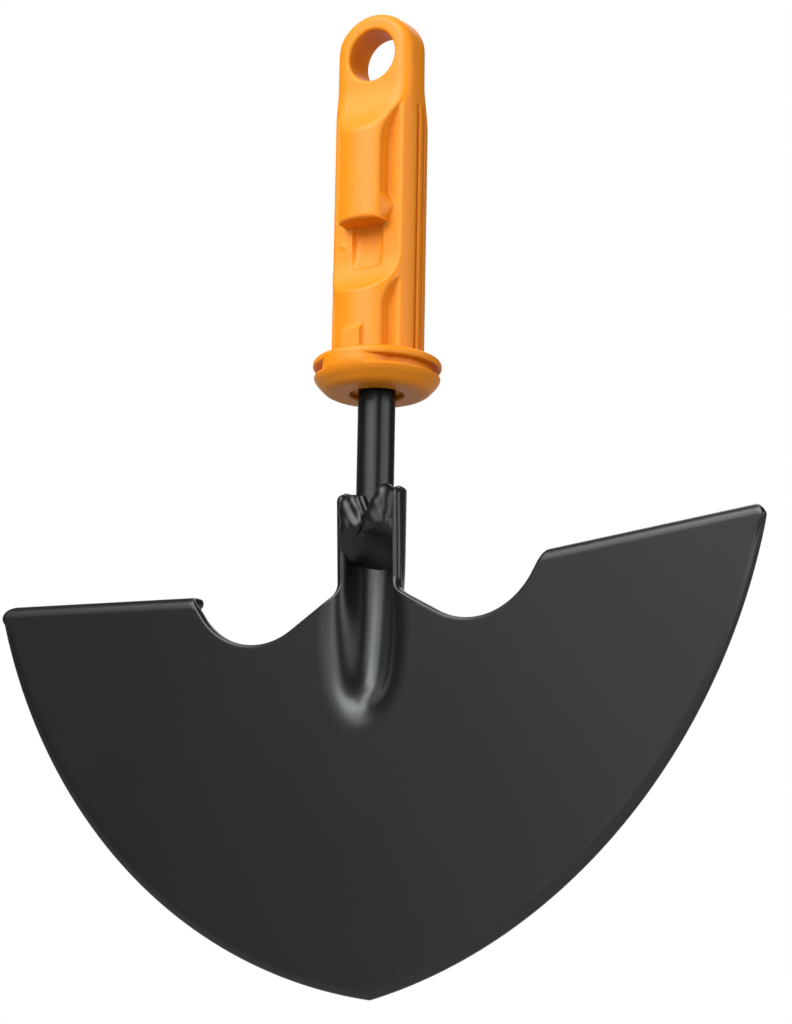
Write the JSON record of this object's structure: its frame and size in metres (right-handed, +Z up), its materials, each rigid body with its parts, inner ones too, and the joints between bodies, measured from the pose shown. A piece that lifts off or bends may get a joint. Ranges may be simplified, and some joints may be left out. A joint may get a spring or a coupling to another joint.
{
  "type": "half moon edger head",
  "caption": "Half-moon lawn edger head: pressed blade with folded foot treads and notches, welded tang, and a moulded plug with flange, latch catch and hanging eyelet for a separate handle.",
  "frame": {"origin": "on the tang's axis at the top of the plug's flange, where the handle's mouth seats", "axes": "+Z up the tang towards the eyelet, blade hanging below, front of the blade facing -Y, +X to the right in the front view"},
  "size_m": [0.2382, 0.0344, 0.268],
  "materials": {
    "blade_paint": "satin black powder coat",
    "tang_paint": "satin black paint",
    "weld_paint": "satin black paint over weld",
    "plug_plastic": "satin orange moulding"
  },
  "bodies": {
    "root": {"blade": "blade_paint", "tang": "tang_paint", "left_weld": "weld_paint", "right_weld": "weld_paint", "foot_weld": "weld_paint", "plug": "plug_plastic"}
  },
  "joints": []
}
